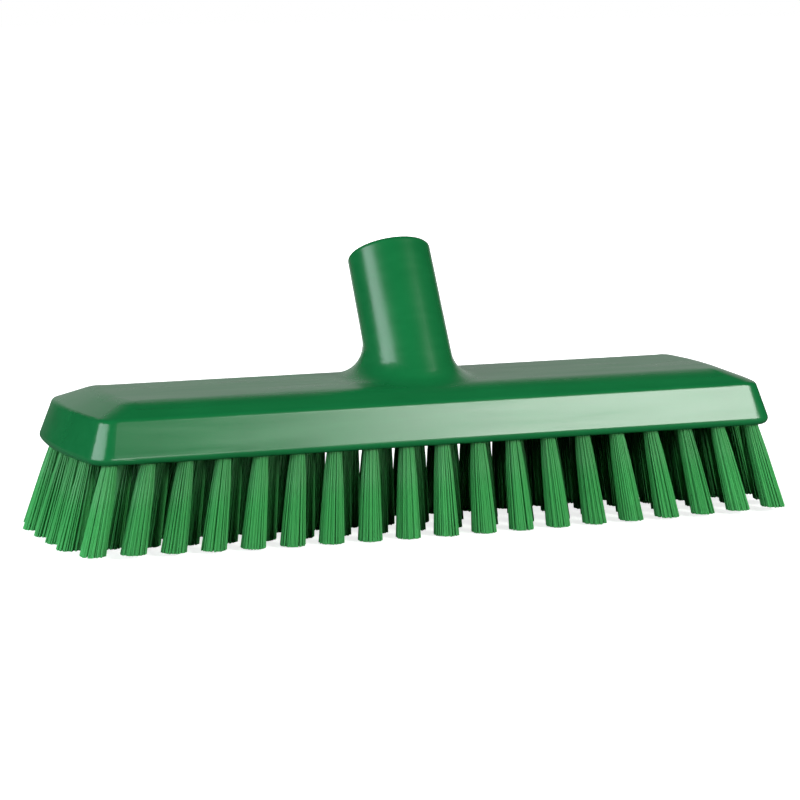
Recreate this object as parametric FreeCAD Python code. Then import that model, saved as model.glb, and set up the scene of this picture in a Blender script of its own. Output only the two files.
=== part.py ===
import FreeCAD, Part
import math
import os

# Deck scrub brush. One moulded block carries an angled handle socket on top and is drilled
# from below for six rows of bristle tufts, which fan out towards the ends and the sides.
# Each tuft is folded over a flat wire anchor at the bottom of its hole, and the tips are
# trimmed to one slightly crowned surface. Millimetres, +Z up, length along X, the socket
# leans towards +Y, and the origin is on the floor under the middle of the tips.

# Moulded block, from the underside up: drafted walls to the rim, then a low hipped roof.
# The long sides are straight and the ends are bowed.
block_length = 298.0
block_width = 78.0
end_bow_degrees = 11.0
block_corner_radius = 9.0
wall_height = 16.8
wall_side_inset = 4.8
wall_end_inset = 5.9
rim_corner_radius = 6.5
roof_height = 5.3
roof_side_inset = 9.2
roof_end_inset = 14.2
plateau_corner_radius = 6.2
underside_edge_radius = 2.4
rim_edge_radius = 2.6
plateau_edge_radius = 18.0

# Handle socket, a tapered tube with a blind bore, measured along its own axis
socket_tilt_degrees = 29.0
socket_length = 54.7
socket_foot_offset = 2.4
bore_radius = 12.0
socket_wall = 4.8
socket_taper = 0.4
socket_blend_radius = 12.0
mouth_edge_radius = 1.8
mouth_chamfer = 1.2
bore_floor_height = 12.5

# Tuft rows: the tufts in each row from a side to the middle, the same from the other side
row_tuft_counts = (19, 20, 21)
outer_row_end_margin = 12.4
inner_row_end_margin = 8.0
row_side_margin = 6.3
end_fan_degrees = 14.3
side_fan_degrees = 7.9

# Tufts, their holes and their anchors
tuft_length = 35.5
tip_crown = 1.8
tuft_root_radius = 3.0
tuft_tip_radius = 5.5
tuft_sides = 8
hole_clearance = 0.05
hole_depth = 12.0
anchor_height = 2.0
anchor_thickness = 0.4
anchor_clearance = 0.05
fold_thickness = 1.5

# Cutting tools reach this far past what they cut
overrun = 2.0

underside_z = tuft_length
rim_z = underside_z + wall_height
plateau_z = rim_z + roof_height
rim_length = block_length - 2 * wall_end_inset
rim_width = block_width - 2 * wall_side_inset
plateau_length = rim_length - 2 * roof_end_inset
plateau_width = rim_width - 2 * roof_side_inset

socket_tilt = math.radians(socket_tilt_degrees)
socket_axis = FreeCAD.Vector(0, math.sin(socket_tilt), math.cos(socket_tilt))
socket_foot = FreeCAD.Vector(0, -socket_foot_offset, plateau_z)
socket_mouth = socket_foot + socket_axis * socket_length
socket_mouth_radius = bore_radius + socket_wall
socket_foot_radius = socket_mouth_radius + socket_taper

# The blend at the socket's foot is no wider than the roof in front of the foot
roof_ahead = rim_width / 2 - socket_foot_offset - socket_foot_radius / math.cos(socket_tilt)
foot_blend = min(socket_blend_radius, roof_ahead)

hole_radius = tuft_root_radius + hole_clearance
outer_row_reach = block_length / 2 - outer_row_end_margin
inner_row_reach = block_length / 2 - inner_row_end_margin
outer_row_y = block_width / 2 - row_side_margin
row_names = ("front", "second", "third", "fourth", "fifth", "rear")
row_counts = row_tuft_counts + row_tuft_counts[::-1]
row_spacing = 2 * outer_row_y / (len(row_names) - 1)


def bowed_outline(length, width, radius, z):
    # Two straight sides and two bowed ends joined by corner arcs, counterclockwise at height z
    bow_turn = math.radians(end_bow_degrees)
    centre_y = width / 2 - radius
    centre_x = length / 2 - radius - centre_y * math.tan(bow_turn / 2)
    turns = (bow_turn, (bow_turn + math.pi / 2) / 2, math.pi / 2)
    corners = []
    for side_x, side_y in ((1, 1), (-1, 1), (-1, -1), (1, -1)):
        arc = [
            FreeCAD.Vector(
                side_x * (centre_x + radius * math.cos(turn)),
                side_y * (centre_y + radius * math.sin(turn)),
                z,
            )
            for turn in turns
        ]
        corners.append(arc if side_x == side_y else arc[::-1])
    rear_right, rear_left, front_left, front_right = corners
    left_end = FreeCAD.Vector(-length / 2, 0, z)
    right_end = FreeCAD.Vector(length / 2, 0, z)
    edges = [
        Part.Arc(*rear_right),
        Part.LineSegment(rear_right[-1], rear_left[0]),
        Part.Arc(*rear_left),
        Part.Arc(rear_left[-1], left_end, front_left[0]),
        Part.Arc(*front_left),
        Part.LineSegment(front_left[-1], front_right[0]),
        Part.Arc(*front_right),
        Part.Arc(front_right[-1], right_end, rear_right[0]),
    ]
    return Part.Wire([edge.toShape() for edge in edges])


def edges_at(shape, z):
    # The edges that lie flat at height z
    box_of = [(edge, edge.BoundBox) for edge in shape.Edges]
    return [edge for edge, box in box_of if max(abs(box.ZMin - z), abs(box.ZMax - z)) < 1e-4]


def moulded_block():
    # Walls and roof are ruled between three outlines, then the plateau edge is softened
    block = Part.makeLoft(
        [
            bowed_outline(block_length, block_width, block_corner_radius, underside_z),
            bowed_outline(rim_length, rim_width, rim_corner_radius, rim_z),
            bowed_outline(plateau_length, plateau_width, plateau_corner_radius, plateau_z),
        ],
        True,
        True,
    )
    block = block.makeFillet(plateau_edge_radius, edges_at(block, plateau_z))

    # The socket rounds off at its mouth and ends level with the rim inside the block
    taper_rate = socket_taper / socket_length
    foot_rise = socket_foot_radius * math.sin(socket_tilt)
    root_depth = (roof_height + foot_rise) / math.cos(socket_tilt) + overrun
    socket = Part.makeCone(
        socket_mouth_radius + taper_rate * (socket_length + root_depth),
        socket_mouth_radius,
        socket_length + root_depth,
        socket_foot - socket_axis * root_depth,
        socket_axis,
    )
    mouth_edges = [edge for edge in socket.Edges if edge.CenterOfMass.isEqual(socket_mouth, 1e-4)]
    socket = socket.makeFillet(mouth_edge_radius, mouth_edges)
    above_rim = Part.makeBox(block_length, 2 * block_length, socket_length + plateau_z)
    above_rim.translate(FreeCAD.Vector(-block_length / 2, -block_length, rim_z))
    block = block.fuse(socket.common(above_rim)).removeSplitter()

    # One rolling fillet joins the socket to the roof all round
    foot_edges = [edge for edge in block.Edges if is_socket_foot(edge)]
    block = block.makeFillet(foot_blend, foot_edges)
    block = block.makeFillet(rim_edge_radius, edges_at(block, rim_z))
    block = block.makeFillet(underside_edge_radius, edges_at(block, underside_z))
    return block.cut(socket_bore())


def is_socket_foot(edge):
    # The foot is where the tapered side meets the roof: every point lies on the taper,
    # lower than the mouth
    for point in edge.discretize(4):
        height = (point - socket_foot).dot(socket_axis)
        radius = (point - socket_foot - socket_axis * height).Length
        taper = socket_mouth_radius + socket_taper * (1 - height / socket_length)
        if abs(radius - taper) > 1e-3 or height > socket_length / 2:
            return False
    return not isinstance(edge.Curve, Part.Line)


def socket_bore():
    bore_floor = socket_foot + socket_axis * bore_floor_height
    depth = socket_length - bore_floor_height
    bore = Part.makeCylinder(bore_radius, depth + overrun, bore_floor, socket_axis)
    flare = Part.makeCone(
        bore_radius,
        bore_radius + mouth_chamfer + overrun,
        mouth_chamfer + overrun,
        socket_mouth - socket_axis * mouth_chamfer,
        socket_axis,
    )
    return bore.fuse(flare)


def tuft_places():
    # One list per row of (x, frame, tip height): the frame sits at the hole's mouth with
    # its Z axis out along the tuft and its X axis along the block
    rows = []
    for row, count in enumerate(row_counts):
        y = row * row_spacing - outer_row_y
        reach = outer_row_reach if row in (0, len(row_counts) - 1) else inner_row_reach
        side_fan = math.radians(side_fan_degrees) * y / outer_row_y
        places = []
        for column in range(count):
            x = reach * (2 * column / (count - 1) - 1)
            end_fan = math.radians(end_fan_degrees) * x / outer_row_reach
            out = FreeCAD.Vector(math.tan(end_fan), math.tan(side_fan), -1).normalize()
            along = FreeCAD.Vector(1, 0, 0) - out * out.x
            along.normalize()
            turn = FreeCAD.Rotation(along, out.cross(along), out, "ZXY")
            frame = FreeCAD.Placement(FreeCAD.Vector(x, y, underside_z), turn)
            places.append((frame, tip_crown * (x / outer_row_reach) ** 2))
        rows.append(places)
    return rows


def hole(frame):
    shape = Part.makeCylinder(hole_radius, hole_depth + overrun)
    bottom = FreeCAD.Vector(0, 0, -hole_depth)
    shape.Placement = frame.multiply(FreeCAD.Placement(bottom, FreeCAD.Rotation()))
    return shape


def anchor_block(frame, length, room):
    # A plate across the hole, lying in the fold of the tuft, with room on its flat sides
    thickness = anchor_thickness + 2 * room
    height = anchor_height + 2 * room
    plate = Part.makeBox(length, thickness, height)
    middle = FreeCAD.Vector(-length / 2, -thickness / 2, fold_thickness - hole_depth - room)
    plate.Placement = frame.multiply(FreeCAD.Placement(middle, FreeCAD.Rotation()))
    return plate


def anchor(frame):
    return anchor_block(frame, 2 * (hole_radius - anchor_clearance), 0)


def ring(radius, z):
    # Corners of a section of the bundle, with flats towards the anchor's ends
    step = 2 * math.pi / tuft_sides
    angles = [step * (corner + 1 / 2) for corner in range(tuft_sides)]
    return [FreeCAD.Vector(radius * math.cos(a), radius * math.sin(a), z) for a in angles]


def polygon_face(points):
    return Part.Face(Part.makePolygon(points + points[:1]))


def tuft(frame, tip_z):
    # Straight in its hole, flared from where it is clear of the block to beyond the trim
    out = frame.Rotation.multVec(FreeCAD.Vector(0, 0, 1))
    tilt = math.acos(-out.z)
    flare_start = hole_radius * math.tan(tilt)
    tip = (underside_z - tip_z) / math.cos(tilt)
    end = tip + tuft_tip_radius * math.tan(tilt) + overrun
    flare_rate = (tuft_tip_radius - tuft_root_radius) / (tip - flare_start)
    rings = [
        ring(tuft_root_radius, hole_clearance - hole_depth),
        ring(tuft_root_radius, flare_start),
        ring(tuft_root_radius + flare_rate * (end - flare_start), end),
    ]
    faces = [polygon_face(rings[0]), polygon_face(rings[-1])]
    for lower, upper in zip(rings, rings[1:]):
        for corner in range(tuft_sides):
            after = (corner + 1) % tuft_sides
            faces.append(polygon_face([lower[corner], lower[after], upper[after], upper[corner]]))
    bundle = Part.Solid(Part.makeShell(faces))
    if bundle.Volume < 0:
        bundle.reverse()
    bundle.Placement = frame

    # The anchor's slot through the fold, then the level trim
    slot = anchor_block(frame, 2 * hole_radius + overrun, anchor_clearance)
    trim = Part.makeBox(2 * block_length, 2 * block_width, plateau_z)
    trim.translate(FreeCAD.Vector(-block_length, -block_width, tip_z))
    return bundle.cut(slot).common(trim)


def export(name, shapes):
    shape = shapes[0] if len(shapes) == 1 else Part.makeCompound(shapes)
    solids = shape.Solids
    sound = shape.isValid() and len(solids) == len(shapes)
    print(name, len(solids), "solids" if sound else "solids, NOT SOUND", round(shape.Volume, 2))
    shape.exportStep("parts/" + name + ".step")


os.makedirs("parts", exist_ok=True)
rows = tuft_places()
holes = [hole(frame) for places in rows for frame, tip_z in places]
export("brush_block", [moulded_block().cut(Part.makeCompound(holes)).Solids[0]])
for name, places in zip(row_names, rows):
    tufts = [tuft(frame, tip_z) for frame, tip_z in places]
    if name in ("front", "rear"):
        for number, shape in enumerate(tufts, 1):
            export("%s_tuft_%02d" % (name, number), shape.Solids)
    else:
        export(name + "_row_tufts", [solid for shape in tufts for solid in shape.Solids])
    export(name + "_row_anchors", [anchor(frame) for frame, tip_z in places])
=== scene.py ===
import math
import random

import bmesh
import bpy
from mathutils import Matrix, Vector


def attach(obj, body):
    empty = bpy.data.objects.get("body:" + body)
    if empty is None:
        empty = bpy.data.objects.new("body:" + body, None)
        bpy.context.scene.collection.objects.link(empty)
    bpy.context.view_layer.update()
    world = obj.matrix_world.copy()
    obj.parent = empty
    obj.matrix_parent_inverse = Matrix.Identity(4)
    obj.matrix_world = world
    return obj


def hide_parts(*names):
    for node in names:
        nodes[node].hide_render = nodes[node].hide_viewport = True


# Green deck scrub brush: moulded block with an angled handle socket and six rows of tufts.
# Metres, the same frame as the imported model.

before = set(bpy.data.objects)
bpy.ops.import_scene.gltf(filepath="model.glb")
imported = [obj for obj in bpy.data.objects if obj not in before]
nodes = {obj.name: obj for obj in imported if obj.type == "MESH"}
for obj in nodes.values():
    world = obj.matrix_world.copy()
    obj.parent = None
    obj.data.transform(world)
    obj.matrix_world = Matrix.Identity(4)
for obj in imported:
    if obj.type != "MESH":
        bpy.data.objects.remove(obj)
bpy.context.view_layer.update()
scene = bpy.context.scene
scene.view_settings.view_transform = "Standard"
print("frame loaded,", len(nodes), "nodes")


def addNode(tree, kind, inputs=None, **settings):
    node = tree.nodes.new(kind)
    for key, value in settings.items():
        setattr(node, key, value)
    for key, value in (inputs or {}).items():
        if isinstance(value, bpy.types.NodeSocket):
            tree.links.new(value, node.inputs[key])
        else:
            node.inputs[key].default_value = value
    return node


def addNoise(tree, place, scale, detail, rough, bend=0.0):
    return addNode(tree, "ShaderNodeTexNoise",
                   {"Vector": place, "Scale": scale, "Detail": detail, "Roughness": rough,
                    "Distortion": bend}).outputs[0]


def combine(tree, operation, first, second):
    return addNode(tree, "ShaderNodeMath", {0: first, 1: second}, operation=operation).outputs[0]


def remap(tree, value, fromRange, toRange=(0.0, 1.0), **settings):
    return addNode(tree, "ShaderNodeMapRange",
                   {"Value": value, "From Min": fromRange[0], "From Max": fromRange[1],
                    "To Min": toRange[0], "To Max": toRange[1]}, **settings).outputs[0]


def mixColour(tree, factor, low, high):
    # a Mix node's sockets share their labels, so the colours go by number
    return addNode(tree, "ShaderNodeMix", {0: factor, 6: low, 7: high}, data_type="RGBA").outputs[2]


def addBump(tree, height, strength, distance):
    return addNode(tree, "ShaderNodeBump",
                   {"Height": height, "Strength": strength, "Distance": distance}).outputs[0]


def newGroup(name, takes, gives):
    group = bpy.data.node_groups.new(name, "ShaderNodeTree")
    for label, kind in takes:
        group.interface.new_socket(label, in_out="INPUT", socket_type=kind)
    for label, kind in gives:
        group.interface.new_socket(label, in_out="OUTPUT", socket_type=kind)
    return group, addNode(group, "NodeGroupInput"), addNode(group, "NodeGroupOutput")


def useGroup(tree, group, inputs):
    return addNode(tree, "ShaderNodeGroup", inputs, node_tree=group)


def newMaterial(name):
    material = bpy.data.materials.new(name)
    material.use_nodes = True
    tree = material.node_tree
    tree.nodes.clear()
    out = addNode(tree, "ShaderNodeOutputMaterial")
    skin = addNode(tree, "ShaderNodeBsdfPrincipled")
    tree.links.new(skin.outputs[0], out.inputs["Surface"])
    return material, tree, skin


def newPiece(name, bm, material):
    mesh = bpy.data.meshes.new(name)
    bm.to_mesh(mesh)
    bm.free()
    piece = bpy.data.objects.new(name, mesh)
    scene.collection.objects.link(piece)
    mesh.materials.append(material)
    return piece


# fine moulding grain, slow mottling and faint flow streaks along the block
mouldGrain = dict(
    grainDetail=3.0, grainRough=0.6,
    mottleDetail=5.0, mottleRough=0.55,
    flowStretch=(0.12, 1.0, 1.6), flowScale=130.0, flowDetail=4.0, flowRough=0.5, flowBend=0.6,
)


def makeGrain(look):
    group, start, end = newGroup(
        "mouldGrain",
        [("Coords", "NodeSocketVector"), ("Grain Scale", "NodeSocketFloat"),
         ("Mottle Scale", "NodeSocketFloat")],
        [("Grain", "NodeSocketFloat"), ("Mottle", "NodeSocketFloat"), ("Flow", "NodeSocketFloat")],
    )
    coords = start.outputs["Coords"]
    fine = addNoise(group, coords, start.outputs["Grain Scale"], look["grainDetail"], look["grainRough"])
    slow = addNoise(group, coords, start.outputs["Mottle Scale"], look["mottleDetail"], look["mottleRough"])
    stretched = addNode(group, "ShaderNodeMapping", {"Vector": coords, "Scale": look["flowStretch"]})
    flow = addNoise(group, stretched.outputs[0], look["flowScale"], look["flowDetail"], look["flowRough"],
                    look["flowBend"])
    group.links.new(fine, end.inputs["Grain"])
    group.links.new(slow, end.inputs["Mottle"])
    group.links.new(flow, end.inputs["Flow"])
    return group


# painted highlight along the rounded edges: paler where a small bevel would turn the surface, broken up by
# noise
paintedEdgeLight = dict(
    samples=4, turned=(0.998, 0.93),        # cosine of the turn where the painted highlight starts and where it is full
    patchDetail=6.0, patchRough=0.65, patches=(0.38, 0.7),
)


def makePaintedEdgeLight(look):
    group, start, end = newGroup(
        "paintedEdgeLight",
        [("Coords", "NodeSocketVector"), ("Width", "NodeSocketFloat"), ("Patch Scale", "NodeSocketFloat")],
        [("Mask", "NodeSocketFloat")],
    )
    softened = addNode(group, "ShaderNodeBevel", {"Radius": start.outputs["Width"]}, samples=look["samples"])
    surface = addNode(group, "ShaderNodeNewGeometry")
    turned = addNode(group, "ShaderNodeVectorMath",
                     {0: softened.outputs[0], 1: surface.outputs["Normal"]}, operation="DOT_PRODUCT")
    edge = remap(group, turned.outputs["Value"], look["turned"])
    patches = addNoise(group, start.outputs["Coords"], start.outputs["Patch Scale"],
                       look["patchDetail"], look["patchRough"])
    broken = remap(group, patches, look["patches"])
    group.links.new(combine(group, "MULTIPLY", edge, broken), end.inputs["Mask"])
    return group


grainGroup = makeGrain(mouldGrain)
paintedEdgeLightGroup = makePaintedEdgeLight(paintedEdgeLight)
print("shared effects made")


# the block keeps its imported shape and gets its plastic
blockPlastic = dict(
    deep=(0.0049, 0.128, 0.0355, 1),
    light=(0.0064, 0.148, 0.042, 1),
    toneRange=(0.7, 1.3),                       # sum of the two noises from deep to light
    # painted highlight: the edge mask mixes in a paler green along the rims, where the rounded edges catch
    # the light
    edgeHighlight=(0.030, 0.235, 0.095, 1),
    edgeHighlightShare=0.14, edgeHighlightWidth=0.0009, edgeHighlightPatchScale=140.0,
    rough=(0.21, 0.27), flowRange=(0.3, 0.7),
    topRough=0.05, topFacing=(0.93, 0.995),     # the flat top is a little rougher
    grainScale=1700.0, mottleScale=45.0,
    grainStrength=0.35, grainHeight=0.00003,
)


def makeBlockPlastic(look):
    material, tree, skin = newMaterial("blockPlastic")
    places = addNode(tree, "ShaderNodeTexCoord")
    coords = places.outputs["Object"]
    grain = useGroup(tree, grainGroup, {"Coords": coords, "Grain Scale": look["grainScale"],
                                        "Mottle Scale": look["mottleScale"]})
    # the edge mask gives the painted highlight along the rims and edges
    paintedHighlight = useGroup(tree, paintedEdgeLightGroup, {"Coords": coords, "Width": look["edgeHighlightWidth"],
                                          "Patch Scale": look["edgeHighlightPatchScale"]})
    tone = combine(tree, "ADD", grain.outputs["Mottle"], grain.outputs["Flow"])
    green = mixColour(tree, remap(tree, tone, look["toneRange"]), look["deep"], look["light"])
    share = combine(tree, "MULTIPLY", paintedHighlight.outputs["Mask"], look["edgeHighlightShare"])
    tree.links.new(mixColour(tree, share, green, look["edgeHighlight"]), skin.inputs["Base Color"])
    rough = remap(tree, grain.outputs["Flow"], look["flowRange"], look["rough"])
    facing = addNode(tree, "ShaderNodeSeparateXYZ", {"Vector": places.outputs["Normal"]})
    top = remap(tree, facing.outputs["Z"], look["topFacing"], (0.0, look["topRough"]))
    tree.links.new(combine(tree, "ADD", rough, top), skin.inputs["Roughness"])
    bump = addBump(tree, grain.outputs["Grain"], look["grainStrength"], look["grainHeight"])
    tree.links.new(bump, skin.inputs["Normal"])
    return material


plastic = makeBlockPlastic(blockPlastic)
block = nodes["brush_block"]
block.data.materials.clear()
block.data.materials.append(plastic)
print("block finished")


# coarse handle thread inside the socket
socketThread = dict(
    foot=(0, -0.0024, 0.0576), tilt=29.0,   # where the socket's axis leaves the plateau
    boreRadius=0.012, sunk=0.0004, height=0.0013,
    rootWidth=0.0027, crestWidth=0.0012,
    pitch=0.0055, turns=5, stepsPerTurn=48,
    start=0.0165,                           # from the foot along the axis
    runOut=0.4,                             # share of a turn
    endFade=0.3, leastHeight=0.03,          # shares of the height: what the fade starts from, and the least
    sharpAngle=40,
)


def makeThread(look):
    tilt = math.radians(look["tilt"])
    axis = Vector((0, math.sin(tilt), math.cos(tilt)))
    side = Vector((1, 0, 0))
    low = Vector(look["foot"]) + axis * look["start"]
    outer = look["boreRadius"] + look["sunk"]
    crest = look["boreRadius"] - look["height"]
    bm = bmesh.new()
    corners = [(outer, -look["rootWidth"] / 2), (crest, -look["crestWidth"] / 2),
               (crest, look["crestWidth"] / 2), (outer, look["rootWidth"] / 2)]
    ring = [bm.verts.new(low + side * r + axis * along) for r, along in corners]
    section = bm.faces.new(ring)
    steps = look["turns"] * look["stepsPerTurn"]
    bmesh.ops.spin(bm, geom=[section, *section.edges, *section.verts], cent=low, axis=axis,
                   dvec=axis * (look["pitch"] / look["stepsPerTurn"]),
                   angle=2 * math.pi * look["turns"], steps=steps, use_merge=False)
    # the ridge sinks into the wall over its first and last part of a turn
    length = look["turns"] * look["pitch"]
    least = look["leastHeight"]
    for vert in bm.verts:
        offset = vert.co - low
        along = offset.dot(axis)
        out = offset - axis * along
        ends = min(along, length - along) / (look["runOut"] * look["pitch"])
        fade = min(max(ends + look["endFade"], 0), 1)
        if out.length < look["boreRadius"]:
            radius = outer - (outer - crest) * (fade * (1 - least) + least)
            vert.co = low + axis * along + out.normalized() * radius
    bmesh.ops.recalc_face_normals(bm, faces=bm.faces[:])
    for face in bm.faces:
        face.smooth = True
    piece = newPiece("socket_thread", bm, plastic)
    piece.data.set_sharp_from_angle(angle=math.radians(look["sharpAngle"]))
    return piece


thread = makeThread(socketThread)
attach(thread, "root")
print("socket thread finished,", len(thread.data.polygons), "faces")


# bristle filaments, one piece for each row of tufts
tufts = dict(
    rows=("front", "second", "third", "fourth", "fifth", "rear"),
    counts=(19, 20, 21, 21, 20, 19),
    outerReach=0.1366, innerReach=0.141, outerY=0.0327,
    endFan=14.3, sideFan=7.9,
    mouth=0.0355, crown=0.0018,         # height of the holes' mouths, rise of the end tips
    intoHole=0.006,
    rootRadius=0.0027, tipRadius=0.00478,
    filaments=150, filamentRadius=0.00029, tipSwell=1.3, sides=5,
    goldenTurn=2.39996, turnJitter=0.12,
    spread=0.4,                         # under 0.5 puts more filaments at the outside
    bendAt=0.3, flare=(0, 0, 0.42, 1),  # share of the way out at a filament's four rings
    strands=7, strandJitter=0.3, strandRing=(0.6, 0.95), strandPull=0.03,
    stray=0.00012, shortest=0.993,
    middleTone=0.5, strandTone=0.1, filamentTone=0.06, aroundTone=0.03, toneRange=(0.03, 0.96),
    firstTone=-0.1, variantTone=0.03,   # each variant is a little paler than the one before
    mouthV=0.3, lengthV=0.6,            # V at the hole's mouth and from there to the trim
    variants=8, seed=73,
)


def makeFilament(look):
    # one straight filament with a ring at each whole height, from its top at 0 to its tip
    last = len(look["flare"]) - 1
    bm = bmesh.new()
    bmesh.ops.create_cone(bm, cap_ends=True, segments=look["sides"], radius1=look["filamentRadius"],
                          radius2=look["filamentRadius"], depth=last,
                          matrix=Matrix.Translation((0, 0, last / 2)))
    upright = [edge for edge in bm.edges if abs(edge.verts[0].co.z - edge.verts[1].co.z) > last / 2]
    bmesh.ops.subdivide_edges(bm, edges=upright, cuts=last - 1, use_grid_fill=True)
    mesh = bpy.data.meshes.new("filament")
    bm.to_mesh(mesh)
    bm.free()
    return mesh


def makeTuft(look, filament, chance, tone):
    # a bundle around the hole's axis: its height is 1 from the mouth to the trim
    bm = bmesh.new()
    uv = bm.loops.layers.uv.new("OFBake")
    strands = []
    for number in range(look["strands"]):
        jitter = chance.uniform(-look["strandJitter"], look["strandJitter"])
        turn = 2 * math.pi * (number + jitter) / look["strands"]
        middle = Vector((math.cos(turn), math.sin(turn))) * look["tipRadius"]
        middle *= chance.uniform(*look["strandRing"])
        strands.append((middle, chance.gauss(0, look["strandTone"])))
    vertCount, faceCount = len(filament.vertices), len(filament.polygons)
    top = look["intoHole"] / look["mouth"]
    darkest, palest = look["toneRange"]
    for number in range(look["filaments"]):
        share = ((number + 0.5) / look["filaments"]) ** look["spread"]
        turn = number * look["goldenTurn"] + chance.uniform(-look["turnJitter"], look["turnJitter"])
        spot = Vector((math.cos(turn), math.sin(turn)))
        root = spot * share * look["rootRadius"]
        tip = spot * share * look["tipRadius"]
        middle, strandShade = min(strands, key=lambda strand: (strand[0] - tip).length)
        tip = tip.lerp(middle, look["strandPull"] * chance.uniform(0, 1))
        tip += Vector((chance.gauss(0, 1), chance.gauss(0, 1))) * look["stray"]
        if tip.length > look["tipRadius"]:
            tip *= look["tipRadius"] / tip.length
        length = chance.triangular(look["shortest"], 1, 1)
        levels = (-top, 0, look["bendAt"] * length, length)
        shade = look["middleTone"] + tone + strandShade + chance.gauss(0, look["filamentTone"])
        shade = min(max(shade, darkest), palest)
        bm.from_mesh(filament)
        bm.verts.ensure_lookup_table()
        bm.faces.ensure_lookup_table()
        around = {}
        for vert in bm.verts[-vertCount:]:
            ring = round(vert.co.z)
            around[vert] = abs(vert.co.xy.angle_signed(Vector((1, 0)), 0)) / math.pi
            middle = root.lerp(tip, look["flare"][ring])
            swell = 1 + (look["tipSwell"] - 1) * look["flare"][ring]
            vert.co = (vert.co.x * swell + middle.x, vert.co.y * swell + middle.y, -levels[ring])
        for face in bm.faces[-faceCount:]:
            for loop in face.loops:
                loop[uv].uv = (shade + look["aroundTone"] * around[loop.vert],
                               look["mouthV"] - look["lengthV"] * loop.vert.co.z)
    bmesh.ops.recalc_face_normals(bm, faces=bm.faces[:])
    for face in bm.faces:
        face.smooth = len(face.verts) == 4      # the caps stay flat
    mesh = bpy.data.meshes.new("tuft")
    bm.to_mesh(mesh)
    bm.free()
    return mesh


def makeRow(look, row, bundles, chance, material):
    count = look["counts"][row]
    outer = row in (0, len(look["counts"]) - 1)
    reach = look["outerReach"] if outer else look["innerReach"]
    y = look["outerY"] * (2 * row / (len(look["counts"]) - 1) - 1)
    sideLean = math.tan(math.radians(look["sideFan"]) * y / look["outerY"])
    bm = bmesh.new()
    bm.loops.layers.uv.new("OFBake")
    for column in range(count):
        x = reach * (2 * column / (count - 1) - 1)
        endLean = math.tan(math.radians(look["endFan"]) * x / look["outerReach"])
        drop = look["mouth"] - look["crown"] * (x / look["outerReach"]) ** 2
        lean = Matrix.Identity(4)
        lean[0][2], lean[1][2] = -endLean, -sideLean
        place = (Matrix.Translation((x, y, look["mouth"])) @ lean @ Matrix.Diagonal((1, 1, drop, 1))
                 @ Matrix.Rotation(chance.uniform(0, 2 * math.pi), 4, "Z"))
        bundle = chance.choice(bundles)
        bm.from_mesh(bundle)
        bm.verts.ensure_lookup_table()
        bmesh.ops.transform(bm, matrix=place, verts=bm.verts[-len(bundle.vertices):])
    return newPiece(look["rows"][row] + "_row_bristles", bm, material)


bristle = dict(
    dark=(0.025, 0.240, 0.055, 1),
    middle=(0.045, 0.346, 0.083, 1),
    pale=(0.077, 0.442, 0.130, 1),
    tipSheenAndWear=(0.125, 0.560, 0.180, 1), tipSheenAndWearShare=0.5,       # the tips are paler: partly rubbed wear, partly painted sheen
    shade=(0.75, 1.36),                                 # painted shade: darker at the roots, lighter towards the tips
    streakStretch=(260.0, 14.0, 1.0), streakScale=1.0, streakDetail=3.0, streakRough=0.6,
    streakRange=(0.3, 0.7), streakShade=(0.86, 1.1),
    rough=(0.36, 0.48), gloss=0.35,
    streakStrength=0.2, streakHeight=0.00004,
)


def makeBristle(look, bundle):
    # U runs over the filaments from dark to pale, V from inside the hole to the tip
    material, tree, skin = newMaterial("bristleFilament")
    place = addNode(tree, "ShaderNodeUVMap", uv_map="OFBake").outputs[0]
    parts = addNode(tree, "ShaderNodeSeparateXYZ", {"Vector": place})
    ramp = addNode(tree, "ShaderNodeValToRGB", {"Fac": parts.outputs["X"]})
    ramp.color_ramp.elements[0].color = look["dark"]
    ramp.color_ramp.elements[1].color = look["pale"]
    ramp.color_ramp.elements.new(bundle["middleTone"]).color = look["middle"]
    streakPlace = addNode(tree, "ShaderNodeMapping", {"Vector": place, "Scale": look["streakStretch"]})
    streaks = addNoise(tree, streakPlace.outputs[0], look["streakScale"],
                       look["streakDetail"], look["streakRough"])
    along = remap(tree, parts.outputs["Y"], (bundle["mouthV"], bundle["mouthV"] + bundle["lengthV"]))
    late = combine(tree, "MULTIPLY", along, along)
    # paler tips, partly rubbed wear and partly painted sheen
    paintedHighlight = combine(tree, "MULTIPLY", late, look["tipSheenAndWearShare"])
    green = mixColour(tree, paintedHighlight, ramp.outputs[0], look["tipSheenAndWear"])
    # painted shade along the tuft: darker at the roots, lighter towards the tips
    paintedShading = remap(tree, late, (0.0, 1.0), look["shade"])
    vary = remap(tree, streaks, look["streakRange"], look["streakShade"])
    shaded = addNode(tree, "ShaderNodeVectorMath",
                     {0: green, "Scale": combine(tree, "MULTIPLY", paintedShading, vary)}, operation="SCALE")
    tree.links.new(shaded.outputs[0], skin.inputs["Base Color"])
    rough = remap(tree, streaks, look["streakRange"], look["rough"])
    tree.links.new(rough, skin.inputs["Roughness"])
    bump = addBump(tree, streaks, look["streakStrength"], look["streakHeight"])
    tree.links.new(bump, skin.inputs["Normal"])
    skin.inputs["Specular IOR Level"].default_value = look["gloss"]
    return material


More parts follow.
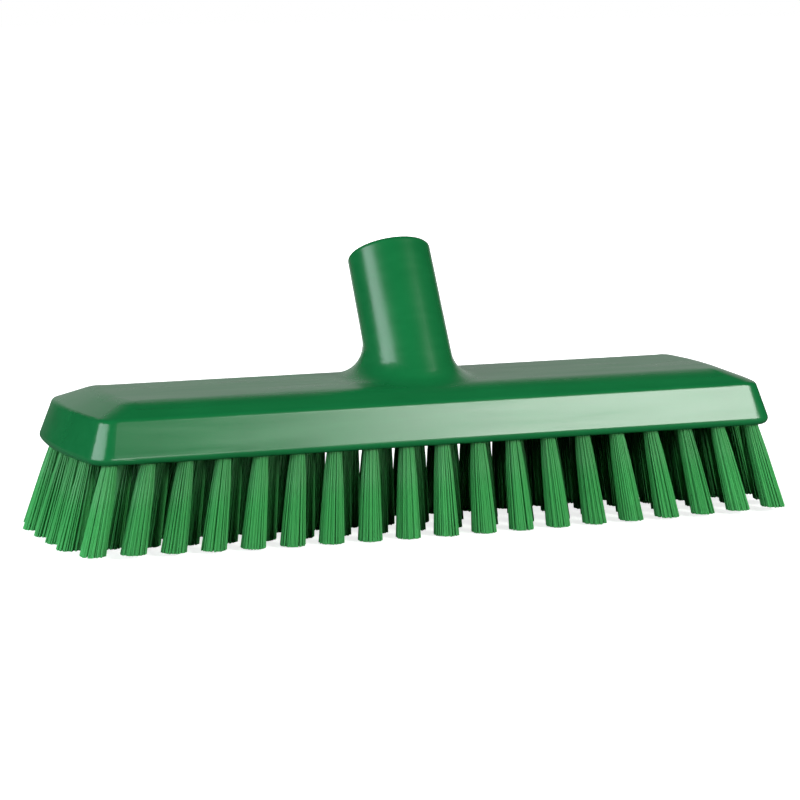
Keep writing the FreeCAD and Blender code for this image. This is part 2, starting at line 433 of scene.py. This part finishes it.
chance = random.Random(tufts["seed"])
filamentMaterial = makeBristle(bristle, tufts)
oneFilament = makeFilament(tufts)
bundles = []
for number in range(tufts["variants"]):
    tone = tufts["variantTone"] * number + tufts["firstTone"]
    bundles.append(makeTuft(tufts, oneFilament, chance, tone))
for row, name in enumerate(tufts["rows"]):
    piece = makeRow(tufts, row, bundles, chance, filamentMaterial)
    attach(piece, "root")
    if name in ("front", "rear"):
        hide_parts(*["%s_tuft_%02d" % (name, n + 1) for n in range(tufts["counts"][row])])
    else:
        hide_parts(name + "_row_tufts")
    print(piece.name, len(piece.data.polygons), "faces")
for mesh in [oneFilament, *bundles]:
    bpy.data.meshes.remove(mesh)


# flat anchor wire deep in the holes
anchorWire = dict(
    dull=(0.42, 0.42, 0.43, 1), bright=(0.66, 0.66, 0.67, 1), rough=(0.25, 0.45),
    drawnStretch=(0.1, 1.0, 1.0), lineScale=6000.0, lineDetail=3.0, lineRough=0.6,
    lineStrength=0.2, lineHeight=0.00002,
)


def makeAnchorSteel(look):
    material, tree, skin = newMaterial("anchorSteel")
    coords = addNode(tree, "ShaderNodeTexCoord").outputs["Object"]
    drawn = addNode(tree, "ShaderNodeMapping", {"Vector": coords, "Scale": look["drawnStretch"]})
    lines = addNoise(tree, drawn.outputs[0], look["lineScale"], look["lineDetail"], look["lineRough"])
    grey = mixColour(tree, lines, look["dull"], look["bright"])
    tree.links.new(grey, skin.inputs["Base Color"])
    tree.links.new(remap(tree, lines, (0.0, 1.0), look["rough"]), skin.inputs["Roughness"])
    bump = addBump(tree, lines, look["lineStrength"], look["lineHeight"])
    tree.links.new(bump, skin.inputs["Normal"])
    skin.inputs["Metallic"].default_value = 1.0
    return material


steel = makeAnchorSteel(anchorWire)
for name in tufts["rows"]:
    anchors = nodes[name + "_row_anchors"]
    anchors.data.materials.clear()
    anchors.data.materials.append(steel)
print("anchors finished")


# pale floor, soft boxes, white backdrop and the camera
studio = dict(
    floorSize=8.0, floorSegments=4, floorDrop=0.0003,
    floorPale=0.8, floorDim=0.12,
    speckleShade=0.97, speckleScale=60.0, speckleDetail=4.0, speckleRough=0.5,
    glow=(0.8, 1.0), glowReach=(0.2, 0.7),      # the floor fades to plain white
    ambient=0.02,
    backdrop=dict(azimuth=158, level=0.5, floorLevel=0.7, sides=(0.55, 0.3), heights=(0.8, 0.3)),
    aim=(0, 0, 0.05),                           # the point that the soft boxes face
    # azimuth from the front towards the right, elevation, distance, width, height, radiance, colour
    rightBox=(35, 20.5, 1.2, 0.515, 0.42, 15.0, (0.95, 1, 0.94)),
    rightStrip=(35, 33, 1.2, 0.515, 0.12, 13.0, (0.95, 1, 0.94)),
    frontBox=(8, 5, 1.2, 0.4, 0.25, 9.0, (0.97, 1, 0.97)),
    leftBox=(-75, 16, 1.2, 1.4, 0.7, 6.0, (0.86, 0.99, 1)),
    rearFill=(175, 22, 1.2, 1.2, 0.5, 5.0, (1, 1, 1)),
)


def greyTone(level):
    return (level, level, level, 1)


def towards(azimuth, elevation):
    a, e = math.radians(azimuth), math.radians(elevation)
    return Vector((math.sin(a) * math.cos(e), -math.cos(a) * math.cos(e), math.sin(e)))


def makeBackdropMask(tree, way, look):
    # 1 straight behind the brush, 0 well to both sides of that and in front
    azimuth = math.radians(look["azimuth"])
    back = addNode(tree, "ShaderNodeVectorMath", {0: way, 1: towards(look["azimuth"], 0)},
                   operation="DOT_PRODUCT")
    side = addNode(tree, "ShaderNodeVectorMath", {0: way, 1: (math.cos(azimuth), math.sin(azimuth), 0)},
                   operation="DOT_PRODUCT")
    aside = addNode(tree, "ShaderNodeMath", {0: side.outputs["Value"]}, operation="ABSOLUTE")
    sheet = remap(tree, aside.outputs[0], look["sides"], interpolation_type="SMOOTHSTEP")
    behind = combine(tree, "GREATER_THAN", back.outputs["Value"], 0.0)
    return combine(tree, "MULTIPLY", sheet, behind)


def seenByCamera(tree, rays):
    return combine(tree, "MAXIMUM", rays.outputs["Is Camera Ray"], rays.outputs["Is Transmission Ray"])


def makeFloor(look):
    bm = bmesh.new()
    bmesh.ops.create_grid(bm, x_segments=look["floorSegments"], y_segments=look["floorSegments"],
                          size=look["floorSize"] / 2,
                          matrix=Matrix.Translation((0, 0, -look["floorDrop"])))
    material = bpy.data.materials.new("paleFloor")
    material.use_nodes = True
    tree = material.node_tree
    tree.nodes.clear()
    rays = addNode(tree, "ShaderNodeLightPath")
    coords = addNode(tree, "ShaderNodeTexCoord").outputs["Object"]
    # the floor is pale to the camera and dim to the brush
    speckle = addNoise(tree, coords, look["speckleScale"], look["speckleDetail"], look["speckleRough"])
    pale = mixColour(tree, speckle, greyTone(look["speckleShade"] * look["floorPale"]),
                     greyTone(look["floorPale"]))
    colour = mixColour(tree, rays.outputs["Is Camera Ray"], greyTone(look["floorDim"]), pale)
    matt = addNode(tree, "ShaderNodeBsdfDiffuse", {"Color": colour})
    away = addNode(tree, "ShaderNodeVectorMath", {0: coords}, operation="LENGTH")
    white = remap(tree, away.outputs["Value"], look["glowReach"], look["glow"],
                  interpolation_type="SMOOTHSTEP")
    seen = combine(tree, "MULTIPLY", seenByCamera(tree, rays), white)
    way = addNode(tree, "ShaderNodeVectorMath", {0: coords}, operation="NORMALIZE").outputs[0]
    sheet = makeBackdropMask(tree, way, look["backdrop"])
    shine = combine(tree, "MULTIPLY", rays.outputs["Is Glossy Ray"], sheet)
    shine = combine(tree, "MULTIPLY", shine, look["backdrop"]["floorLevel"])
    glow = addNode(tree, "ShaderNodeEmission", {"Strength": combine(tree, "MAXIMUM", seen, shine)})
    joined = addNode(tree, "ShaderNodeAddShader", {0: matt.outputs[0], 1: glow.outputs[0]})
    addNode(tree, "ShaderNodeOutputMaterial", {"Surface": joined.outputs[0]})
    floor = newPiece("floor", bm, material)


def makeWorld(look):
    # plain white to the camera, a white sheet behind the brush to its gloss, dim for the rest
    world = bpy.data.worlds.new("studio")
    scene.world = world
    world.use_nodes = True
    tree = world.node_tree
    tree.nodes.clear()
    rays = addNode(tree, "ShaderNodeLightPath")
    way = addNode(tree, "ShaderNodeTexCoord").outputs["Generated"]
    up = addNode(tree, "ShaderNodeSeparateXYZ", {"Vector": way})
    lower = remap(tree, up.outputs["Z"], look["backdrop"]["heights"], (0.0, look["backdrop"]["level"]),
                  interpolation_type="SMOOTHSTEP")
    sheet = combine(tree, "MULTIPLY", makeBackdropMask(tree, way, look["backdrop"]), lower)
    glossy = combine(tree, "MULTIPLY", rays.outputs["Is Glossy Ray"], sheet)
    both = combine(tree, "MAXIMUM", seenByCamera(tree, rays), glossy)
    colour = mixColour(tree, both, greyTone(look["ambient"]), greyTone(1))
    sky = addNode(tree, "ShaderNodeBackground", {"Color": colour})
    addNode(tree, "ShaderNodeOutputWorld", {"Surface": sky.outputs[0]})


def makeSoftBox(name, look, mirrored=True):
    azimuth, elevation, distance, width, height, radiance, colour = look[name]
    lamp = bpy.data.lights.new(name, "AREA")
    lamp.shape = "RECTANGLE"
    lamp.size, lamp.size_y = width, height
    lamp.energy = radiance * math.pi * width * height
    lamp.color = colour
    holder = bpy.data.objects.new(name, lamp)
    scene.collection.objects.link(holder)
    way = towards(azimuth, elevation)
    holder.location = way * distance + Vector(look["aim"])
    holder.rotation_euler = way.to_track_quat("Z", "Y").to_euler()
    holder.visible_camera = False
    holder.visible_glossy = mirrored


view = dict(
    turn=22.55, down=8.80, roll=0.28,
    middle=(0, 0, 0.05), distance=1.4019, shiftRight=0.00414, shiftUp=0.00194,
    lens=157.5, sensor=36,                      # millimetres
)


def makeCamera(look):
    turn, down, roll = [math.radians(look[key]) for key in ("turn", "down", "roll")]
    ahead = Vector((math.sin(turn) * math.cos(down), math.cos(turn) * math.cos(down), -math.sin(down)))
    right = Vector((math.cos(turn), -math.sin(turn), 0))
    up = right.cross(ahead)
    right, up = right * math.cos(roll) + up * math.sin(roll), up * math.cos(roll) - right * math.sin(roll)
    lens = bpy.data.cameras.new("camera")
    lens.lens = look["lens"]
    lens.sensor_width = look["sensor"]
    camera = bpy.data.objects.new("camera", lens)
    scene.collection.objects.link(camera)
    spot = Vector(look["middle"]) - ahead * look["distance"]
    spot = spot - right * look["shiftRight"] - up * look["shiftUp"]
    turned = Matrix((right, up, -ahead)).transposed()
    camera.matrix_world = Matrix.Translation(spot) @ turned.to_4x4()
    scene.camera = camera


makeFloor(studio)
makeWorld(studio)
for name in ("rightBox", "rightStrip", "frontBox", "leftBox"):
    makeSoftBox(name, studio)
makeSoftBox("rearFill", studio, mirrored=False)     # lights the back without a reflection
makeCamera(view)
print("studio ready")

bpy.context.view_layer.update()
